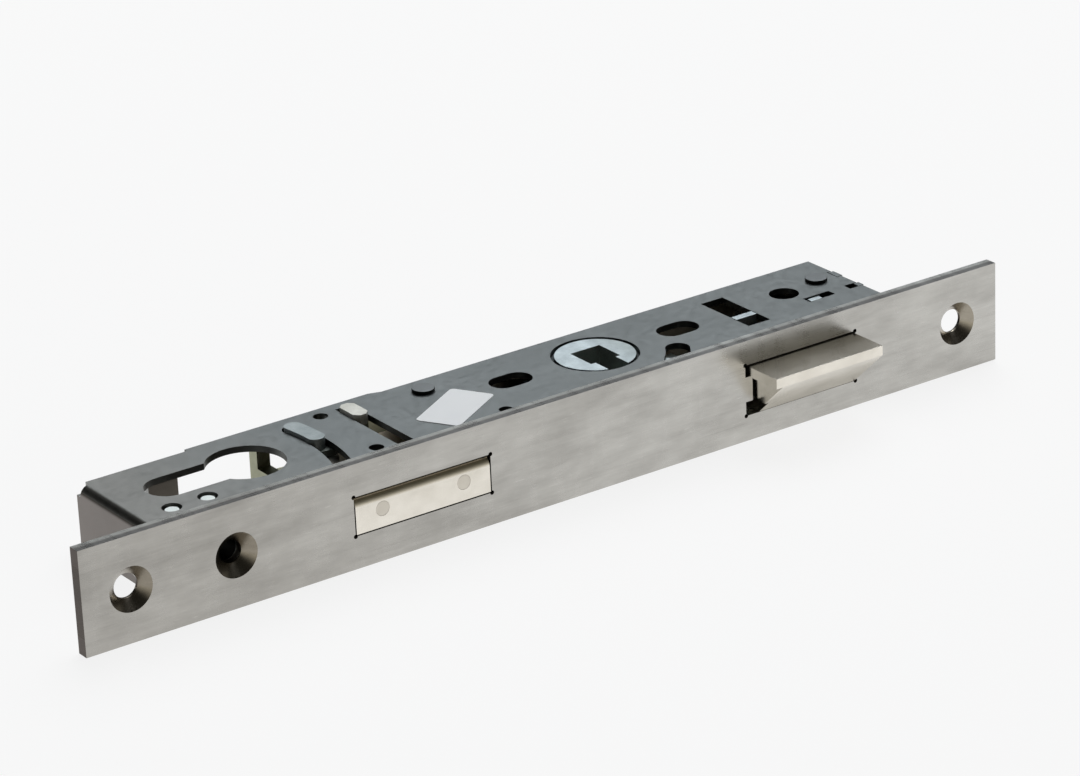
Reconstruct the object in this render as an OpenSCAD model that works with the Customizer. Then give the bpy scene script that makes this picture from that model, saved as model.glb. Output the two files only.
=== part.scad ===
// Mortise sashlock for narrow-stile doors, lying on its side.
// X runs along the forend towards the latch, Y goes into the door, Z is the thickness.
// The origin is on the forend's front face, level with the follower, at mid thickness.

/* [Layout] */
// From the follower axis to the cylinder axis
centres = 92; // [85:0.5:110]
// From the forend's front face to the follower and cylinder axes
backset = 25; // [24.5:0.1:26]
// From those axes to the case's back
case_behind = 13.4; // [13:0.1:17]

/* [Forend] */
// From the cylinder axis to the forend's lower end
forend_below = 55.1; // [50:0.1:70]
// From the follower axis to the forend's upper end
forend_above = 96; // [90:0.1:120]
// Width of the forend
forend_w = 24; // [20:0.5:32]
// Thickness of the forend
forend_t = 3; // [2.5:0.1:3.5]
// From each end to its fixing screw
screw_inset = 11.6; // [8:0.05:13]
// Diameter of the fixing screw holes
screw_hole_d = 5.6; // [4:0.1:7]
// Diameter of the countersinks at the face
csk_d = 10.2; // [9:0.1:11]
// From the cylinder axis to its fixing screw
cylinder_screw_below = 18.2; // [16:0.05:19]
// Diameter of the cylinder fixing screw's hole
cylinder_screw_d = 5.2; // [5:0.1:6.2]
// Diameter of that screw's bore in the block behind the forend
block_bore_d = 5.2; // [4.2:0.1:5.5]
// Radius of the relief cuts at the window corners
relief_r = 0.5; // [0.5:0.05:1]
// Gap round each bolt in its window
window_gap = 0.3; // [0.15:0.05:0.4]
// Gap beside the latch where the tongue is
tongue_gap = 0.8; // [0.3:0.1:1.2]
// Gap under the latch in its window
latch_gap_low = 0.05; // [0.05:0.05:0.3]
// Length of the window's tongue beside the latch
tongue_l = 1.95; // [1:0.05:2.5]
// Height of the tongue's lower edge below mid thickness
tongue_low = 2.6; // [2:0.1:3]
// Height of the tongue's upper edge above mid thickness
tongue_high = 3.3; // [3:0.1:3.6]

/* [Case] */
// From the cylinder axis to the case's lower end
case_below = 33.8; // [31.5:0.1:40]
// From the follower axis to the case's upper end
case_above = 72; // [70.5:0.1:80]
// Thickness of the case
case_t = 15; // [14.5:0.1:18]
// Thickness of the case's sheet
sheet = 1.5; // [1.2:0.05:1.7]
// Outer radius of the cover's bend
bend_r = 2.3; // [2:0.1:4]
// Depth of the relief at the end of the bend
bend_relief = 1.5; // [0.5:0.1:2]
// How far the cover overhangs behind the deadbolt
overhang = 1; // [0.5:0.1:1.5]
// From the cylinder axis down to the overhang's start
overhang_below = 6.5; // [5:0.1:8]
// From the cylinder axis up to the overhang's end
overhang_above = 40.5; // [38:0.1:42]
// Length of the overhang's slope
overhang_slope = 3; // [1:0.1:4]
// From the cylinder axis up to the start of the back wall
back_wall_from = 42.5; // [41:0.1:46]
// Lower back tab: distance of its start below the cylinder axis
back_tab_from = 17.4; // [14:0.1:18]
// Width of the lower back tab
back_tab_w = 7.3; // [5:0.1:8]
// Width of the end wall's rear tab
end_tab_w = 3.4; // [2:0.1:4]
// Distance of the rear end tab from the forend face
end_tab_y = 28; // [26:0.1:29]
// Width of the end wall's front tab
front_tab_w = 2.4; // [2:0.1:3]
// Distance of the front end tab from the forend face
front_tab_y = 19.5; // [18:0.1:20]
// Depth of the cover's notch at the front end tab
front_notch = 4.1; // [3:0.1:4.5]
// Clearance round tabs in the cover
tab_gap = 0.25; // [0.1:0.05:0.4]

/* [Cover openings] */
// Radius of the cylinder opening's round part
cylinder_r = 8.9; // [8.6:0.05:9.2]
// Width of the cylinder opening's straight part
cylinder_slot_w = 10.6; // [10.2:0.1:11]
// Overall length of the cylinder opening
cylinder_l = 33.3; // [32.5:0.1:33.4]
// Distance of the handle screw slots from the follower axis
handle_slot_x = 23.1; // [22:0.1:24]
// Length of a handle screw slot
handle_slot_l = 10.5; // [8:0.1:11]
// Width of a handle screw slot
handle_slot_w = 7; // [5:0.1:8]
// Width of the latch tab's slot
latch_slot_w = 6.2; // [6:0.1:7]
// Clearance at both ends of the latch tab's travel
latch_slot_end = 0.6; // [0.5:0.1:2]
// Extra length of the latch tab's slot towards the forend
latch_slot_front = 4.2; // [0.5:0.1:4.5]
// Radius of the round hole above the latch
latch_hole_r = 3.5; // [2:0.1:4]
// Distance of that hole from the follower axis
latch_hole_x = 54.5; // [52:0.1:56]
// Radius of the two small holes beside the deadbolt slot
deadbolt_hole_r = 1.7; // [1:0.1:2]
// Radius of the small hole under the label
label_hole_r = 1.6; // [1:0.1:2]
// Width of the curved slot over the follower's arm
arm_slot_w = 5.6; // [5:0.1:6.5]
// Mean radius of that slot round the follower axis
arm_slot_r = 18.6; // [18:0.1:19]

/* [Case fasteners] */
// Radius of a rivet's shank
rivet_r = 2; // [1.5:0.1:2.5]
// Radius of a rivet's head
rivet_head_r = 2.6; // [2.3:0.05:4]
// Height of a rivet's head
rivet_head_h = 1; // [0.5:0.1:1.2]
// Rivet above the deadbolt: distance from the follower axis
rivet_low_x = 41.3; // [39:0.1:42]
// Rivet above the deadbolt: distance from the case's back
rivet_low_back = 5.9; // [5:0.1:6]
// Rivet above the latch: distance from the follower axis
rivet_high_x = 65.1; // [63:0.1:65.5]
// Rivet above the latch: distance from the case's back
rivet_high_back = 11; // [8.5:0.1:12.5]
// Radius of the screw block's two studs
stud_r = 1.6; // [1.5:0.1:2]
// How far the studs stop below the cover's face
stud_sink = 0.5; // [0.2:0.1:1]
// Gap round the studs in the case's plates
stud_gap = 0.6; // [0.2:0.1:0.7]
// From the cylinder axis to the studs, towards the forend
stud_front = 9.9; // [8.7:0.1:11]
// Distance of the lower stud below the cylinder screw
stud_low = 6; // [5:0.1:6.5]
// Distance of the upper stud above the cylinder screw
stud_high = 2.75; // [2.5:0.05:4]

/* [Follower] */
// Width of the follower's square
square = 8; // [7:1:9]
// Radius of the follower's bearing discs
follower_r = 10.05; // [9.5:0.05:10.5]
// Radial clearance of the bearing discs
bearing_gap = 0.06; // [0.03:0.01:0.1]
// Radius of the follower's middle flange
flange_r = 11.5; // [11.2:0.1:11.7]
// How far the follower's face lies below the cover's face
follower_sink = 0.1; // [0.05:0.05:1.2]
// Width of the step round the follower's face
follower_step = 0.75; // [0.3:0.05:1]
// Depth of that step
follower_step_d = 1; // [0.5:0.1:1.2]
// Width of the follower's channel
channel_w = 5.5; // [4:0.1:6]
// Depth of the follower's channel
channel_depth = 4.5; // [2:0.1:6]
// Turn of the follower, in degrees
follower_turn = 42; // [40:1:42]
// Radius of the arm's nose centre
arm_r = 15.5; // [15:0.1:15.6]
// Radius of the arm's nose
arm_nose = 2; // [1.5:0.1:2.1]
// Outer radius of the arm
arm_reach = 17.5; // [17:0.1:17.6]
// Radius of the return lug's nose centre
lug_r = 15.2; // [14.8:0.1:15.4]
// Radius of the return lug's nose
lug_nose = 2; // [1.5:0.1:2.2]

/* [Latch] */
// Distance of the latch's middle from the follower axis
latch_x = 38.9; // [38:0.05:40]
// Width of the latch
latch_w = 30.2; // [28:0.1:31]
// How far the latch stands out of the forend
latch_out = 10.3; // [8:0.1:12]
// How far the latch goes back past the forend's face
latch_in = 9; // [8:0.1:10]
// Height of the latch's nose
nose_h = 2.3; // [1.5:0.1:3]
// Side clearance of the latch between the plates
latch_gap = 0.1; // [0.1:0.05:0.3]
// Depth of the latch's guide groove
groove_d = 1.85; // [1:0.05:2.2]
// Depth of the latch's lower corner cut
corner_d = 2.9; // [2:0.1:4]
// Travel of the latch
latch_travel = 10.5; // [10:0.1:10.5]
// Thickness of the latch's tail
tail_t = 2; // [1.5:0.1:2.1]
// Width of the tail's tab
tail_tab_w = 5.8; // [5:0.1:5.9]
// Distance of the tail's tab behind the forend face
tail_tab_y = 20.4; // [19:0.1:21]

/* [Latch guide] */
// Gap between the latch and its guide
bracket_gap = 0.5; // [0.2:0.1:0.8]
// Distance of the guide's leg behind the forend face
bracket_y = 18.6; // [17:0.1:20]
// Length of the guide's leg
bracket_l = 6.3; // [5:0.1:7]
// Width of the guide's tab in the cover
bracket_tab_w = 3.4; // [2:0.1:4]
// Length of the slot round the guide's tab
bracket_slot_l = 7.5; // [5:0.1:8]

/* [Deadbolt] */
// From the cylinder axis to the deadbolt's middle
deadbolt_above = 28.45; // [28:0.05:30]
// Width of the deadbolt
deadbolt_w = 34.4; // [32:0.1:34.6]
// Thickness of the deadbolt
deadbolt_t = 8.4; // [8:0.1:8.6]
// From the deadbolt's rear to the case's back
deadbolt_behind = 12.4; // [12:0.1:13.5]
// Rounding of the deadbolt's upper edge
deadbolt_round = 2.5; // [0.5:0.1:2.5]
// Throw of the deadbolt
deadbolt_throw = 17; // [15:0.5:17]
// Radius of the hardened pins
pin_r = 1.7; // [1:0.1:2]
// Distance of the pins from the deadbolt's middle
pin_x = 10.4; // [8:0.1:12]
// Length of the hardened pins
pin_l = 16; // [12:0.5:20]
// Width of the deadbolt's guide tab
guide_w = 3.8; // [3:0.1:4]
// Length of the deadbolt's guide tab
guide_l = 7.7; // [6:0.1:8]
// From the guide tab's rear end to the case's back
guide_behind = 2.4; // [2.4:0.1:2.8]
// From the cylinder axis to the guide tab
guide_above = 32.2; // [31.5:0.05:33]
// How far the tabs stand above the cover
tab_proud = 1; // [0.5:0.1:1.5]
// Side clearance of the tabs in their slots
slot_gap = 0.15; // [0.1:0.05:0.25]
// End clearance of the tabs in their slots
slot_end = 0.6; // [0.3:0.1:0.8]

/* [Tumbler] */
// From the cylinder axis to the curved slot's middle line
arc_above = 17.8; // [17.2:0.1:18.2]
// Mean radius of the curved slot
arc_r = 46.7; // [46.3:0.1:46.9]
// Width of the curved tab
arc_tab_w = 4.1; // [3.5:0.1:4.3]
// Where the curved tab starts, in degrees from the cylinder line
arc_tab_from = -2.4; // [-2.6:0.1:-2.2]
// Where the curved tab ends, in degrees from the cylinder line
arc_tab_to = 12.4; // [12:0.1:12.6]
// Width of the tumbler's plate beyond the tab on each side
tumbler_rim = 1.8; // [1:0.1:2]
// Thickness of the tumbler's plate
tumbler_t = 1.4; // [1.2:0.1:1.5]

/* [Springs] */
// Wire diameter of the latch spring
latch_wire = 0.9; // [0.7:0.05:1]
// Coil radius of the latch spring
latch_coil_r = 2.7; // [2.5:0.1:2.8]
// Curls in the latch spring
latch_curls = 13; // [8:1:14]
// Wire diameter of the follower spring
follower_wire = 0.7; // [0.5:0.05:0.8]
// Coil radius of the follower spring
follower_coil_r = 2.1; // [1.8:0.1:2.2]
// Curls in the follower spring
follower_curls = 10; // [6:1:12]
// Thickness of the tumbler's leaf spring
leaf_t = 0.5; // [0.4:0.1:0.6]

/* [Label] */
// Length of the blank label
label_l = 18.6; // [10:0.1:22]
// Width of the blank label
label_w = 10.6; // [6:0.1:13]
// Thickness of the blank label
label_t = 0.15; // [0.1:0.05:0.3]
// Turn of the label, in degrees
label_turn = 31; // [0:1:45]
// Radius of the label's corners
label_corner = 1; // [0.5:0.1:2]
// Distance of the label's middle from the follower axis, along X
label_x = -41.2; // [-42:0.1:-38]
// Distance of the label's middle from the forend face
label_y = 20.2; // [16:0.1:21]

/* [Hidden] */
$fn = 72;
e = 0.05;
cap_step = 0.02;
half = case_t / 2;
case_back = backset + case_behind;
inner = half - sheet;
cyl_x = -centres;
forend_x0 = cyl_x - forend_below;
forend_x1 = forend_above;
case_x0 = cyl_x - case_below;
case_x1 = case_above;
front = forend_t + sheet;
rear = case_back - sheet;
screw_x = cyl_x - cylinder_screw_below;
deadbolt_x = cyl_x + deadbolt_above;
db0 = deadbolt_x - deadbolt_w / 2;
db1 = deadbolt_x + deadbolt_w / 2;
db_half = deadbolt_t / 2;
la0 = latch_x - latch_w / 2;
la1 = latch_x + latch_w / 2;
la_half = inner - latch_gap;
tongue_x = la0 - tongue_gap;
rivet_places = [[-rivet_low_x, case_back - rivet_low_back],
                [rivet_high_x, case_back - rivet_high_back]];
stud_places = [for (x = [screw_x - stud_low, screw_x + stud_high]) [x, backset - stud_front]];
deadbolt_d = case_back - deadbolt_behind;
guide_y = case_back - guide_behind - guide_l;
cover_short = 0.5;
cover_x1 = case_x1 - cover_short;
tab_top = half + tab_proud;
latch_tab_x = latch_x + 0.35;
tail_drop = inner - 1.1;
tail_z = [-tail_drop, -tail_drop + tail_t];
spring_x = la1 - 4.7;
spring_pocket = latch_coil_r + latch_wire / 2 + 0.35;
bracket_x = [la1 + bracket_gap, la1 + bracket_gap + sheet];
bracket_leg_y = [bracket_y, bracket_y + sheet];
arm_from = -62;
arm_to = -37;
arm_side = 1.4;
arm_z = [tail_z[1] + 0.3, inner - 0.3];
nose_angle = -40;
lug_angle = 180 - follower_turn / 2;
lug_half = 2.6;
lug_face = backset + arm_r * sin(nose_angle) + arm_nose + 0.3;
cam_clear = 15.6;
cam_x = cyl_x + cam_clear;
cam_y = backset - sqrt(pow(cam_clear, 2) - pow(db0 - cyl_x, 2));
db_tail_z = [-db_half, -db_half + 2];
guide_x = cyl_x + guide_above;
arc_cx = cyl_x + arc_above - arc_r;
tail_seat_y = deadbolt_d - 9;
tail_x1 = spring_x - spring_pocket - 0.4;
tail_seat = latch_in - 5;
link_y = backset - handle_slot_w / 2 - latch_travel - 0.3;
lug_x0 = flange_r + 1.1;
lug_l = 2.6;
latch_rivet_in = 3.5;
latch_rivet_r = 1.1;
latch_peg = [1.5, 6];
follower_peg = [1.2, 4.5];
arc_mid = (arc_tab_from + arc_tab_to) / 2;
drive_dx = arc_r * cos(arc_mid);
drive_y = backset + arc_r * sin(arc_mid);
drive_r = 1.4;
drive_gap = 0.35;
tumbler_turn = arc_mid - atan2(drive_y - deadbolt_throw - backset, drive_dx);
arc_end = slot_end / arc_r * 180 / PI;
tumbler_z = [db_half + 0.2, db_half + 0.2 + tumbler_t];
plate_r = [arc_r - arc_tab_w / 2 - tumbler_rim, arc_r + arc_tab_w / 2 + tumbler_rim];
leaf_r = plate_r[1] + 0.6;
leaf_drop = 0.1;
spring_peg_r = 0.7;
hook_r = spring_peg_r + 0.05;
spring_peg = [arc_cx + plate_r[1] + spring_peg_r + 0.3,
              backset + (leaf_r + leaf_t / 2) * sin(arc_tab_to + 1) - hook_r - leaf_t / 2];
db_tail_x1 = db1 - 4;
db_rivet_in = 5;
db_rivet_r = 1.25;
post_x = [cyl_x + 8, cyl_x + 11.3];
post_y = [backset + 8.8, case_back - 1.4];
post_z = 4.9;
post_step = 4.5;
post_step_z = 0.6;
pad_x = [guide_x - 3, guide_x + 4.8];
pad_rim = 0.5;
arm_slot_turn = [-58, -20.5];
latch_hole_y = backset + 1;
deadbolt_hole_side = 6.5;
deadbolt_hole_y = [backset - 11.7, backset + 10.5];
label_hole = [-33.3, 12.15];
block_rim = 3;
block_gap = 0.5;
hub_r = 8;
lug_top = 4.6;
follower_spring_x = -lug_r * (1 + cos(follower_turn / 2)) / 2;
spring_inner = -follower_spring_x - follower_coil_r - follower_wire / 2;
lug_under = backset + spring_inner * tan(180 - lug_angle) - lug_nose / cos(180 - lug_angle);

// The two ends of a span round a middle
function about(middle, reach) = [middle - reach, middle + reach];

// A block given by its ends along X, Y and Z
module block(x, y, z) {
    translate([x[0], y[0], z[0]]) cube([x[1] - x[0], y[1] - y[0], z[1] - z[0]]);
}

// A flat shape drawn in Y and Z, pushed along X
module along_x(x) {
    translate([x[0], 0, 0]) rotate([90, 0, 90]) linear_extrude(x[1] - x[0]) children();
}

// A flat shape drawn in X and Z, pushed along Y
module along_y(y) {
    translate([0, y[1], 0]) rotate([90, 0, 0]) linear_extrude(y[1] - y[0]) children();
}

// A flat shape drawn in X and Y, pushed along Z
module along_z(z) {
    translate([0, 0, z[0]]) linear_extrude(z[1] - z[0]) children();
}

// A flat rectangle given by its ends
module field(x, y) {
    translate([x[0], y[0]]) square([x[1] - x[0], y[1] - y[0]]);
}

// A flat slot with round ends along its first direction
module oblong(x, y, l, w) {
    field([x - (l - w) / 2, x + (l - w) / 2], [y - w / 2, y + w / 2]);
    for (s = [-1, 1]) translate([x + s * (l - w) / 2, y]) circle(w / 2);
}

// A flat piece of a ring, round a centre, between two radii and two angles
module ring_piece(c, r, a) {
    mid = (a[0] + a[1]) / 2;
    far = r[1] * 2;
    translate(c) intersection() {
        difference() {
            circle(r[1]);
            circle(r[0]);
        }
        polygon([[0, 0], far * [cos(a[0]), sin(a[0])], far * [cos(mid), sin(mid)],
                 far * [cos(a[1]), sin(a[1])]]);
    }
}

// A curved slot with round ends round a centre, the angles being those of its ends.
// The ends are a hair narrower than the slot, so that no arc meets another at a tangent.
module curved_slot(c, r, w, a) {
    cap = w / 2 / r * 180 / PI;
    ring_piece(c, [r - w / 2, r + w / 2], [a[0] + cap, a[1] - cap]);
    for (t = [a[0] + cap, a[1] - cap]) translate(c + r * [cos(t), sin(t)]) circle(w / 2 - cap_step);
}

// The cylinder's profile in the plates
module cylinder_profile() {
    translate([cyl_x, backset]) circle(cylinder_r);
    slot_end_x = cyl_x + cylinder_r - cylinder_l;
    field([slot_end_x + cylinder_slot_w / 2, cyl_x], about(backset, cylinder_slot_w / 2));
    translate([slot_end_x + cylinder_slot_w / 2, backset]) circle(cylinder_slot_w / 2);
}

// Openings that both plates of the case share
module shared_openings() {
    cylinder_profile();
    translate([0, backset]) circle(follower_r + bearing_gap);
    for (s = [-1, 1]) oblong(s * handle_slot_x, backset, handle_slot_l, handle_slot_w);
    for (p = stud_places) translate(p) circle(stud_r + stud_gap);
    for (p = rivet_places) translate(p) circle(rivet_r);
}

// Slots and holes of the cover alone
module cover_openings() {
    // Curved slot of the tumbler's tab
    curved_slot([arc_cx, backset], arc_r, arc_tab_w + 2 * slot_gap,
                [arc_tab_from - tumbler_turn - arc_end, arc_tab_to + arc_end]);
    // Straight slot of the deadbolt's guide tab
    y0 = guide_y - deadbolt_throw - slot_end;
    field(about(guide_x, guide_w / 2 + slot_gap), [y0, guide_y + guide_l + slot_end]);
    // Slot of the latch tail's tab
    field(about(latch_tab_x, latch_slot_w / 2),
          [tail_tab_y - latch_slot_end - latch_slot_front,
           tail_tab_y + tail_t + latch_travel + latch_slot_end]);
    // Slot of the latch guide's tab
    field([bracket_x[1] - tab_gap, bracket_x[1] + bracket_slot_l - tab_gap],
          [bracket_leg_y[0] - 2 * tab_gap, bracket_leg_y[1] + 2 * tab_gap]);
    // Curved slot over the follower's arm
    curved_slot([0, backset], arm_slot_r, arm_slot_w, arm_slot_turn);
    translate([latch_hole_x, latch_hole_y]) circle(latch_hole_r);
    for (y = deadbolt_hole_y) translate([guide_x - deadbolt_hole_side, y]) circle(deadbolt_hole_r);
    translate(label_hole) circle(label_hole_r);
    // Notches for the end wall's tabs
    field([case_x1 - sheet - tab_gap, case_x1], about(end_tab_y, end_tab_w / 2 + tab_gap));
    field([case_x1 - front_notch, case_x1], about(front_tab_y, front_tab_w / 2));
}

// Countersunk screw hole through the forend
module screw_hole(x, d) {
    translate([x, 0, 0]) rotate([-90, 0, 0]) {
        translate([0, 0, -e]) cylinder(d = d, h = forend_t + 2 * e);
        translate([0, 0, -e]) cylinder(d1 = csk_d + 2 * e, d2 = d, h = (csk_d - d) / 2 + e);
    }
}

// Window in the forend with relief cuts in its corners
module window(x, z) {
    along_y([-e, forend_t + e]) {
        field(x, z);
        for (u = x, v = z) translate([u, v]) circle(relief_r);
    }
}

// Front plate that fills the door's edge
module forend() {
    color([0.66, 0.67, 0.65]) {
        difference() {
            block([forend_x0, forend_x1], [0, forend_t], forend_w / 2 * [-1, 1]);
            window([db0 - window_gap, db1 + window_gap], (db_half + window_gap) * [-1, 1]);
            window([tongue_x, la1 + window_gap], [-la_half - latch_gap_low, la_half + window_gap]);
            screw_hole(forend_x0 + screw_inset, screw_hole_d);
            screw_hole(forend_x1 - screw_inset, screw_hole_d);
            screw_hole(screw_x, cylinder_screw_d);
        }
        // Tongue that runs in the latch's groove
        block([tongue_x - e, tongue_x + tongue_l], [0, forend_t], [-tongue_low, tongue_high]);
    }
}

// Pressed tray: bottom plate, front flanges, back wall and end wall
module case_body() {
    x0 = case_x0 + sheet;
    side = inner * [-1, 1];
    color([0.44, 0.47, 0.47]) difference() {
        union() {
            block([x0, case_x1], [forend_t, case_back], [-half, -inner]);
            block([case_x0 + bend_r, db0 - 2], [forend_t, front], side);
            block([db1 + 2, la0 - 2], [forend_t, front], side);
            block([bracket_x[1], case_x1], [forend_t, front], side);
            block([cyl_x + back_wall_from, case_x1], [rear, case_back], side);
            block([cyl_x - back_tab_from, cyl_x - back_tab_from + back_tab_w], [rear, case_back], side);
            block([case_x1 - sheet, case_x1], [forend_t, case_back], side);
            block([case_x1 - sheet, case_x1], about(end_tab_y, end_tab_w / 2), [inner - e, half]);
            block([case_x1 - sheet, case_x1], about(front_tab_y, front_tab_w / 2 - tab_gap),
                  [inner - e, half]);
        }
        along_z([-half - e, -inner + e]) shared_openings();
        translate([screw_x, 0, 0]) rotate([-90, 0, 0]) cylinder(d = cylinder_screw_d, h = front + e);
    }
}

// Cover plate with its bent lower end wall
module case_cover() {
    y1 = case_back + overhang;
    bend = [case_x0 + bend_r, half - bend_r];
    color([0.48, 0.51, 0.51]) {
        along_z([inner, half]) difference() {
            polygon([[bend[0], forend_t], [cover_x1, forend_t], [cover_x1, case_back],
                     [cyl_x + overhang_above + overhang_slope, case_back], [cyl_x + overhang_above, y1],
                     [cyl_x - overhang_below, y1], [cyl_x - overhang_below, case_back],
                     [bend[0], case_back]]);
            shared_openings();
            cover_openings();
        }
        along_y([forend_t, case_back - bend_relief]) intersection() {
            translate(bend) difference() {
                circle(bend_r);
                circle(bend_r - sheet);
            }
            field([case_x0, bend[0]], [bend[1], half]);
        }
        block([case_x0, case_x0 + sheet], [forend_t, case_back], [-half, bend[1]]);
    }
}

// Two rivets that hold the cover on the tray
module case_rivets() {
    color([0.46, 0.49, 0.49])
        for (p = rivet_places) translate(p) {
            translate([0, 0, -half]) cylinder(r = rivet_r, h = 2 * half);
            translate([0, 0, half]) cylinder(r = rivet_head_r, h = rivet_head_h);
        }
}

// Block behind the forend that the cylinder's screw passes through, staked into both plates
module cylinder_screw_block() {
    x = [stud_places[0][0] - block_rim, stud_places[1][0] + block_rim];
    color([0.72, 0.76, 0.78]) difference() {
        union() {
            block(x, [front, backset - cylinder_slot_w / 2 - block_gap], inner * [-1, 1]);
            for (p = stud_places) translate([p[0], p[1], -half + stud_sink])
                cylinder(r = stud_r, h = 2 * (half - stud_sink));
        }
        translate([screw_x, 0, 0]) rotate([-90, 0, 0]) cylinder(d = block_bore_d, h = backset);
    }
}

// Blank paper label on the cover
module label() {
    flat = [label_l / 2 - label_corner, label_w / 2 - label_corner];
    color([0.9, 0.93, 0.94]) translate([label_x, label_y, half]) rotate(label_turn)
        linear_extrude(label_t) {
            field(flat[0] * [-1, 1], label_w / 2 * [-1, 1]);
            field(label_l / 2 * [-1, 1], flat[1] * [-1, 1]);
            for (u = [-1, 1], v = [-1, 1]) translate([u * flat[0], v * flat[1]]) circle(label_corner);
        }
}

// Deadbolt's solid block
module deadbolt() {
    color([0.83, 0.81, 0.76]) difference() {
        along_x([db0, db1]) {
            field([deadbolt_round, deadbolt_d], db_half * [-1, 1]);
            field([0, deadbolt_d], [-db_half, db_half - deadbolt_round]);
            translate([deadbolt_round, db_half - deadbolt_round]) circle(deadbolt_round);
        }
        // Room for the cylinder's cam
        block([db0 - e, cam_x], [cam_y, deadbolt_d + e], (db_half + e) * [-1, 1]);
        // Seat of the tail
        block([cam_x - e, db_tail_x1], [tail_seat_y, deadbolt_d + e], [-db_half - e, db_tail_z[1]]);
        deadbolt_pins();
        deadbolt_rivets();
    }
}

// Two hardened pins in the deadbolt, against sawing
module deadbolt_pins() {
    color([0.74, 0.73, 0.68])
        for (s = [-1, 1]) translate([deadbolt_x + s * pin_x, 0, 0]) rotate([-90, 0, 0])
            cylinder(r = pin_r, h = pin_l);
}

// Deadbolt's tail with its guide tab, its drive pin and the post that the cylinder's cam pushes
module deadbolt_tail() {
    color([0.8, 0.79, 0.72]) difference() {
        union() {
            block([cam_x, db_tail_x1], [tail_seat_y, rear], db_tail_z);
            // Post in two steps
            block([post_x[0], cam_x + e], [post_y[0] - post_step / 2, post_y[1]], db_tail_z);
            block(post_x, [post_y[0] - post_step, post_y[1]], [-db_half, post_step_z]);
            block(post_x, post_y, [-db_half, post_z]);
            // Pad and guide tab
            block(pad_x, [deadbolt_d, guide_y + guide_l + pad_rim], [-db_half, db_half]);
            along_z([db_half - e, tab_top]) rounded_tab(guide_x, guide_w, [guide_y, guide_y + guide_l]);
            translate([arc_cx + drive_dx, drive_y, -db_half])
                cylinder(r = drive_r, h = tumbler_z[1] + db_half - leaf_drop);
            translate([spring_peg[0], spring_peg[1], -db_half])
                cylinder(r = spring_peg_r, h = 2 * db_half + tumbler_t);
        }
        deadbolt_rivets();
    }
}

// Flat tab with cut corners, across X and along Y
module rounded_tab(x, w, y) {
    c = w * 0.3;
    polygon([[x - w / 2 + c, y[0]], [x + w / 2 - c, y[0]], [x + w / 2, y[0] + c], [x + w / 2, y[1] - c],
             [x + w / 2 - c, y[1]], [x - w / 2 + c, y[1]], [x - w / 2, y[1] - c], [x - w / 2, y[0] + c]]);
}

// Two rivets that hold the tail on the deadbolt
module deadbolt_rivets() {
    color([0.7, 0.7, 0.68])
        for (x = [cam_x + db_rivet_in, db_tail_x1 - db_rivet_in])
            translate([x, (tail_seat_y + deadbolt_d) / 2, -db_half]) cylinder(r = db_rivet_r, h = db_half + 1);
}

// Tumbler that swings with the deadbolt, its tab guided by the cover's curved slot
module tumbler() {
    c = [arc_cx, backset];
    color([0.72, 0.76, 0.78]) difference() {
        union() {
            along_z(tumbler_z) ring_piece(c, plate_r, [arc_tab_from - 1, arc_tab_to + 1]);
            along_z([tumbler_z[1] - e, tab_top])
                curved_slot(c, arc_r, arc_tab_w, [arc_tab_from, arc_tab_to]);
        }
        // Slot of the drive pin
        translate([c[0], c[1], 0]) rotate(arc_mid)
            block([drive_dx - drive_r - 1, plate_r[1] + 1], (drive_r + drive_gap) * [-1, 1],
                  [tumbler_z[0] - e, tumbler_z[1]]);
    }
}

// Leaf spring that presses the tumbler, hooked round a peg on the tail
module tumbler_spring() {
    leaf_x = arc_cx + (leaf_r + leaf_t / 2) * cos(arc_tab_to + 1);
    color([0.6, 0.6, 0.6]) along_z([tumbler_z[0], tumbler_z[1] - leaf_drop]) difference() {
        union() {
            ring_piece([arc_cx, backset], [leaf_r, leaf_r + leaf_t], [arc_tab_from + 3, arc_tab_to + 1]);
            translate(spring_peg) circle(hook_r + leaf_t);
            field([leaf_x, spring_peg[0]], [spring_peg[1] + hook_r, spring_peg[1] + hook_r + leaf_t]);
        }
        translate(spring_peg) circle(hook_r);
    }
}

// Follower: hub with square hole, bearing discs, latch arm and return lug
module follower() {
    disc = half - follower_sink;
    color([0.72, 0.76, 0.78]) difference() {
        union() {
            translate([0, backset, -disc]) cylinder(r = follower_r - follower_step, h = 2 * disc);
            translate([0, backset, follower_step_d - disc])
                cylinder(r = follower_r, h = 2 * (disc - follower_step_d));
            translate([0, backset, -inner + latch_gap]) cylinder(r = flange_r, h = 2 * (inner - latch_gap));
            along_z(arm_z) {
                ring_piece([0, backset], [hub_r, arm_reach], [arm_from, arm_to]);
                translate([0, backset]) rotate(nose_angle) {
                    translate([arm_r, 0]) circle(arm_nose);
                    field([hub_r, arm_r], arm_side * [-1, 1]);
                }
            }
            along_z(lug_half * [-1, 1]) translate([0, backset]) rotate(lug_angle) {
                translate([lug_r, 0]) circle(lug_nose);
                field([hub_r, lug_r], lug_nose * [-1, 1]);
            }
        }
        block(square / 2 * [-1, 1], about(backset, square / 2), half * [-1, 1]);
        block(channel_w / 2 * [-1, 1], [backset - flange_r - 1, backset - square / 2 + e],
              [disc - channel_depth, half]);
    }
}

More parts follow.
